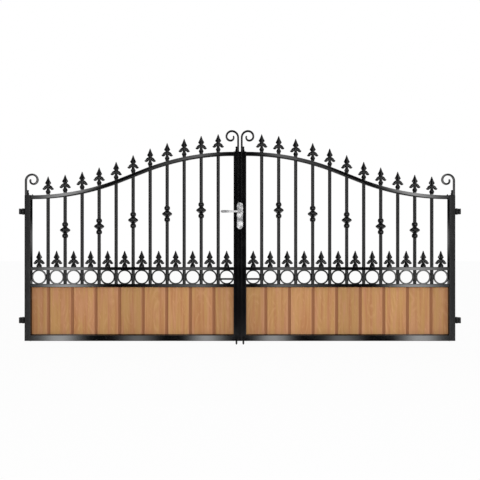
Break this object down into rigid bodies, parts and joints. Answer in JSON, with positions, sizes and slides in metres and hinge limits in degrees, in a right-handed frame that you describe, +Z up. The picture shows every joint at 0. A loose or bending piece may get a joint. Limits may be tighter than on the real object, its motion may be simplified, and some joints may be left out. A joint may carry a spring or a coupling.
{
  "type": "double-leaf driveway gate with a steel frame, boards and spear finials",
  "caption": "Pair of hinged driveway gate leaves: black steel frames, oak boards below, rings, round bars with collars, an arched top rail with spear finials, scrolls, lever and drop bolts.",
  "frame": {"origin": "centre height of the lower left hinge bracket, on its post face, in the gate's middle plane", "axes": "+X along the closed gate from the left post face to the right one, +Y away from the front, +Z up"},
  "size_m": [3.112, 0.1516, 1.5148],
  "materials": {
    "gate_paint": "gloss black powder coat",
    "hinge_paint": "black painted steel",
    "board_oak": "oiled oak boards with V joints",
    "satin_lock": "satin"
  },
  "bodies": {
    "posts_side": {"left_lower_bracket": "hinge_paint", "left_upper_bracket": "hinge_paint", "right_lower_bracket": "hinge_paint", "right_upper_bracket": "hinge_paint"},
    "left_leaf": {"left_lower_eye": "hinge_paint", "left_upper_eye": "hinge_paint", "left_hinge_stile": "gate_paint", "left_closing_stile": "gate_paint", "left_bottom_rail": "gate_paint", "left_panel_rail": "gate_paint", "left_ring_rail": "gate_paint", "left_top_rail": "gate_paint", "left_boards": "board_oak", "left_bead": "gate_paint", "left_plain_bars": "gate_paint", "left_collar_bars": "gate_paint", "left_rings": "gate_paint", "left_top_finials": "gate_paint", "left_ring_finials": "gate_paint", "left_hinge_scroll": "gate_paint", "left_closing_scroll": "gate_paint", "left_bolt_guides": "gate_paint", "stop_strip": "gate_paint", "lock_plate": "satin_lock", "lock_cylinder": "satin_lock"},
    "right_leaf": {"right_lower_eye": "hinge_paint", "right_upper_eye": "hinge_paint", "right_hinge_stile": "gate_paint", "right_closing_stile": "gate_paint", "right_bottom_rail": "gate_paint", "right_panel_rail": "gate_paint", "right_ring_rail": "gate_paint", "right_top_rail": "gate_paint", "right_boards": "board_oak", "right_bead": "gate_paint", "right_plain_bars": "gate_paint", "right_collar_bars": "gate_paint", "right_rings": "gate_paint", "right_top_finials": "gate_paint", "right_ring_finials": "gate_paint", "right_hinge_scroll": "gate_paint", "right_closing_scroll": "gate_paint", "right_bolt_guides": "gate_paint"},
    "left_bolt": {"left_drop_bolt": "gate_paint"},
    "right_bolt": {"right_drop_bolt": "gate_paint"},
    "lever": {"lever": "satin_lock"}
  },
  "joints": [
    {"name": "left_swing", "type": "hinge", "parent": "posts_side", "child": "left_leaf", "pos_m": [0.026, 0, 0], "axis": [0, 0, -1], "range_deg": [0, 90]},
    {"name": "right_swing", "type": "hinge", "parent": "posts_side", "child": "right_leaf", "pos_m": [3.086, 0, 0], "axis": [0, 0, 1], "range_deg": [0, 90]},
    {"name": "left_bolt_lift", "type": "slide", "parent": "left_leaf", "child": "left_bolt", "axis": [0, 0, 1], "range_m": [0, 0.06]},
    {"name": "right_bolt_lift", "type": "slide", "parent": "right_leaf", "child": "right_bolt", "axis": [0, 0, 1], "range_m": [0, 0.06]},
    {"name": "lever_turn", "type": "hinge", "parent": "left_leaf", "child": "lever", "pos_m": [1.556, -0.04, 0.767], "axis": [0, -1, 0], "range_deg": [0, 40], "stiffness_Nm_per_rad": 1.5, "springref_deg": -17.19}
  ]
}
